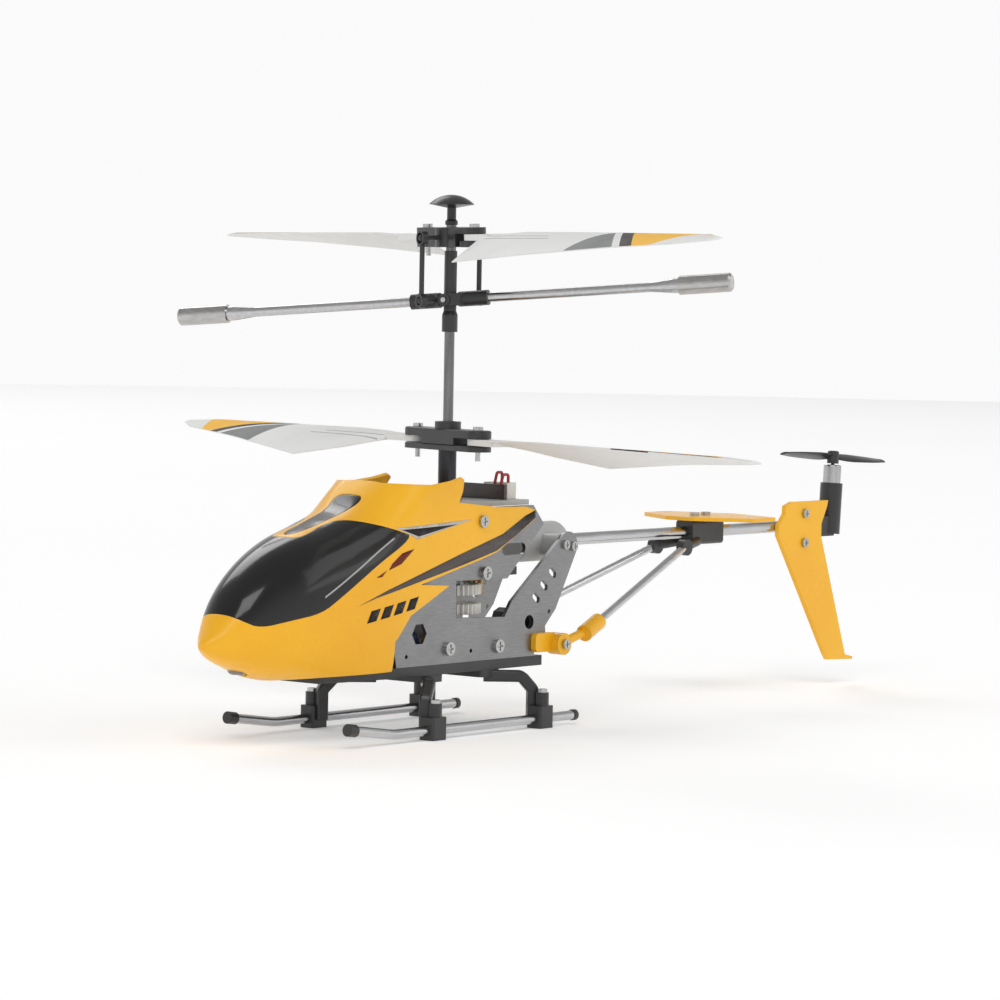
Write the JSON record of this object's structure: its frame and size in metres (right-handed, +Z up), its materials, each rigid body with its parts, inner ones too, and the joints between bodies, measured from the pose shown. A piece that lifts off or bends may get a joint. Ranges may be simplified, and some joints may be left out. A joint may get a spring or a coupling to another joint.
{
  "type": "toy helicopter",
  "caption": "Toy coaxial helicopter with a metal side-plate frame, stacked rotors, flybar, tail boom and skids.",
  "frame": {"origin": "centre of the whole model's footprint, on the ground under the skids", "axes": "+X towards the nose, +Y to port, +Z up along the rotor shaft"},
  "size_m": [0.2188, 0.1844, 0.1046],
  "materials": {
    "shell_yellow": "glossy moulded plastic",
    "window_black": "glossy printed black",
    "black_plastic": "satin moulded plastic",
    "plate_metal": "brushed and clear-coated",
    "bright_metal": "drawn, bright",
    "weight_steel": "turned",
    "screw_steel": "plated",
    "dark_tube": "dark anodised",
    "motor_steel": "plated can",
    "brass": "turned",
    "gear_white": "moulded nylon",
    "grey_plastic": "moulded plastic",
    "blade_white": "glossy moulded plastic with printed panels",
    "battery_wrap": "foil pouch in shrink wrap",
    "board_green": "lacquered board",
    "connector_white": "moulded nylon",
    "lead_red": "insulated wire",
    "lens_clear": "clear lens"
  },
  "bodies": {
    "airframe": {"base_tray": "black_plastic", "battery": "battery_wrap", "board_leads": "lead_red", "boom_holder": "grey_plastic", "brace_lugs": "shell_yellow", "brace_rods": "bright_metal", "brace_sleeves": "shell_yellow", "canopy": "shell_yellow", "charge_socket": "black_plastic", "frame_screws": "screw_steel", "front_skid_bow": "black_plastic", "main_motors": "motor_steel", "motor_connector": "connector_white", "motor_deck": "black_plastic", "nose_lamp": "lens_clear", "rear_skid_bow": "black_plastic", "receiver_board": "board_green", "roof_window": "window_black", "shaft_bushes": "brass", "side_plate_port": "plate_metal", "side_plate_starboard": "plate_metal", "skid_caps": "black_plastic", "skid_tubes": "bright_metal", "small_screws": "screw_steel", "stabilizer": "shell_yellow", "stabilizer_clamp": "black_plastic", "switch_body": "black_plastic", "tail_boom": "bright_metal", "tail_fin": "shell_yellow", "tail_motor": "motor_steel", "tail_motor_holder": "black_plastic", "top_deck": "grey_plastic", "windshield": "window_black"},
    "power_switch": {"switch_knob": "black_plastic"},
    "inner_rotor": {"inner_gear": "gear_white", "inner_shaft": "bright_metal", "thrust_collar": "brass", "hinge_pins": "screw_steel", "head_post": "black_plastic", "top_cap": "black_plastic"},
    "outer_rotor": {"outer_shaft": "dark_tube", "outer_gear": "gear_white", "lower_hub": "black_plastic", "lower_hub_cover": "black_plastic", "lower_blade_screws": "screw_steel"},
    "front_pinion": {"front_pinion": "brass"},
    "rear_pinion": {"rear_pinion": "brass"},
    "flybar": {"flybar_hub": "black_plastic", "flybar_rods": "bright_metal", "flybar_weights": "weight_steel"},
    "flybar_link_a": {"flybar_link_a": "black_plastic"},
    "flybar_link_b": {"flybar_link_b": "black_plastic"},
    "upper_grip": {"upper_grip": "black_plastic", "upper_grip_covers": "black_plastic", "upper_blade_screws": "screw_steel"},
    "upper_blade_a": {"upper_blade_a": "blade_white"},
    "upper_blade_b": {"upper_blade_b": "blade_white"},
    "lower_blade_a": {"lower_blade_a": "blade_white"},
    "lower_blade_b": {"lower_blade_b": "blade_white"},
    "tail_rotor": {"tail_rotor": "black_plastic"}
  },
  "joints": [
    {"name": "upper_rotor_spin", "type": "hinge", "parent": "airframe", "child": "inner_rotor", "pos_m": [0.0391, 0, 0.05], "axis": [0, 0, 1], "continuous": true},
    {"name": "lower_rotor_spin", "type": "hinge", "parent": "airframe", "child": "outer_rotor", "pos_m": [0.0391, 0, 0.04], "axis": [0, 0, 1], "continuous": true},
    {"name": "front_pinion_spin", "type": "hinge", "parent": "airframe", "child": "front_pinion", "pos_m": [0.04765, 0, 0.023], "axis": [0, 0, 1], "continuous": true},
    {"name": "rear_pinion_spin", "type": "hinge", "parent": "airframe", "child": "rear_pinion", "pos_m": [0.03055, 0, 0.027], "axis": [0, 0, 1], "continuous": true},
    {"name": "flybar_teeter", "type": "hinge", "parent": "inner_rotor", "child": "flybar", "pos_m": [0.0391, 0, 0.084], "axis": [0.9367, 0.3502, 0], "range_deg": [-18.5, 9.5]},
    {"name": "grip_pitch", "type": "hinge", "parent": "inner_rotor", "child": "upper_grip", "pos_m": [0.0391, 0, 0.0963], "axis": [0.3502, 0.9367, 0], "range_deg": [-12.5, 6.5]},
    {"name": "link_a_pivot", "type": "hinge", "parent": "flybar", "child": "flybar_link_a", "pos_m": [0.03301, 0.00228, 0.08433], "axis": [0.9367, 0.3502, 0], "range_deg": [-9.6, 18.6]},
    {"name": "link_b_pivot", "type": "hinge", "parent": "flybar", "child": "flybar_link_b", "pos_m": [0.04519, -0.00228, 0.08367], "axis": [0.9367, 0.3502, 0], "range_deg": [-9.6, 18.6]},
    {"name": "upper_blade_a_lag", "type": "hinge", "parent": "upper_grip", "child": "upper_blade_a", "pos_m": [0.04232, 0.00862, 0.0963], "axis": [0.0482, -0.018, 0.9987], "range_deg": [-12, 12]},
    {"name": "lower_blade_a_lag", "type": "hinge", "parent": "outer_rotor", "child": "lower_blade_a", "pos_m": [0.04174, 0.00985, 0.0564], "axis": [0, 0, 1], "range_deg": [-12, 12]},
    {"name": "upper_blade_b_lag", "type": "hinge", "parent": "upper_grip", "child": "upper_blade_b", "pos_m": [0.03588, -0.00862, 0.0963], "axis": [0.0482, -0.018, 0.9987], "range_deg": [-12, 12]},
    {"name": "lower_blade_b_lag", "type": "hinge", "parent": "outer_rotor", "child": "lower_blade_b", "pos_m": [0.03646, -0.00985, 0.0564], "axis": [0, 0, 1], "range_deg": [-12, 12]},
    {"name": "tail_rotor_spin", "type": "hinge", "parent": "airframe", "child": "tail_rotor", "pos_m": [-0.09463, 0, 0.05006], "axis": [-0.0698, 0, 0.9976], "continuous": true},
    {"name": "power_switch_slide", "type": "slide", "parent": "airframe", "child": "power_switch", "axis": [1, 0, 0], "range_m": [0, 0.0016]}
  ],
  "couplings": [
    {"joint": "front_pinion_spin", "follows": "upper_rotor_spin", "ratio": -4},
    {"joint": "rear_pinion_spin", "follows": "lower_rotor_spin", "ratio": -4},
    {"joint": "grip_pitch", "follows": "flybar_teeter", "ratio": 0.65606},
    {"joint": "link_a_pivot", "follows": "flybar_teeter", "ratio": -1},
    {"joint": "link_b_pivot", "follows": "flybar_teeter", "ratio": -1}
  ]
}
